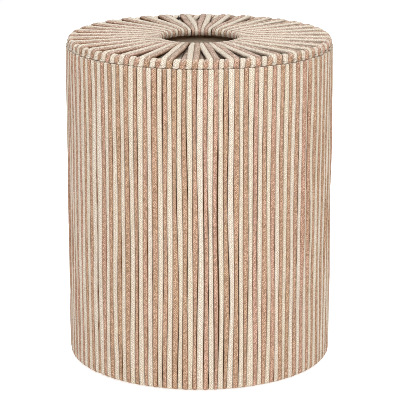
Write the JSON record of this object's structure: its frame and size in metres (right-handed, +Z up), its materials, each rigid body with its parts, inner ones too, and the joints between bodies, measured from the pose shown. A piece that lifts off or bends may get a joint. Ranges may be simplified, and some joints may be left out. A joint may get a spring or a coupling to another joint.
{
  "type": "hat box",
  "caption": "Round upright hat box covered in cream and tan cotton cord, with a flat cord-wound lid that lifts off and has a wide round hole to hold it by.",
  "frame": {"origin": "middle of the standing face", "axes": "+Z up along the drum, -Y the front as pictured"},
  "size_m": [0.35, 0.35, 0.4317],
  "materials": {
    "side_cord": "braided cotton cord, cream and tan lengths laid in turn",
    "lid_cord": "braided cotton cord, a cream and a tan strand wound together",
    "wall_board": "dark brown rolled board, matt",
    "base_board": "plain plywood, matt",
    "lining": "natural brown paper, matt",
    "wire": "dark painted steel wire, satin",
    "ring_wood": "dark-stained plywood, satin"
  },
  "bodies": {
    "drum": {"base_disc": "base_board", "floor_panel": "wall_board", "drum_wall": "wall_board", "wall_lining": "lining", "side_cords_01": "side_cord", "side_cords_02": "side_cord", "side_cords_03": "side_cord", "side_cords_04": "side_cord", "side_cords_05": "side_cord", "side_cords_06": "side_cord", "side_cords_07": "side_cord", "side_cords_08": "side_cord", "side_cords_09": "side_cord", "side_cords_10": "side_cord", "side_cords_11": "side_cord", "side_cords_12": "side_cord", "side_cords_13": "side_cord", "side_cords_14": "side_cord", "side_cords_15": "side_cord", "side_cords_16": "side_cord", "side_cords_17": "side_cord", "side_cords_18": "side_cord", "side_cords_19": "side_cord", "side_cords_20": "side_cord", "side_cords_21": "side_cord", "side_cords_22": "side_cord"},
    "lid": {"lid_outer_hoop": "wire", "lid_inner_hoop": "wire", "lid_spoke_1": "wire", "lid_spoke_2": "wire", "lid_spoke_3": "wire", "lid_spoke_4": "wire", "lid_spoke_5": "wire", "lid_spoke_6": "wire", "lid_cords_01": "lid_cord", "lid_cords_02": "lid_cord", "lid_cords_03": "lid_cord", "lid_cords_04": "lid_cord", "lid_cords_05": "lid_cord", "lid_cords_06": "lid_cord", "lid_cords_07": "lid_cord", "lid_cords_08": "lid_cord", "lid_cords_09": "lid_cord", "lid_cords_10": "lid_cord", "lid_cords_11": "lid_cord", "lid_cords_12": "lid_cord", "lid_locating_ring": "ring_wood"}
  },
  "joints": [
    {"name": "lid_lift", "type": "slide", "parent": "drum", "child": "lid", "axis": [0, 0, 1], "range_m": [0, 0.15]}
  ]
}
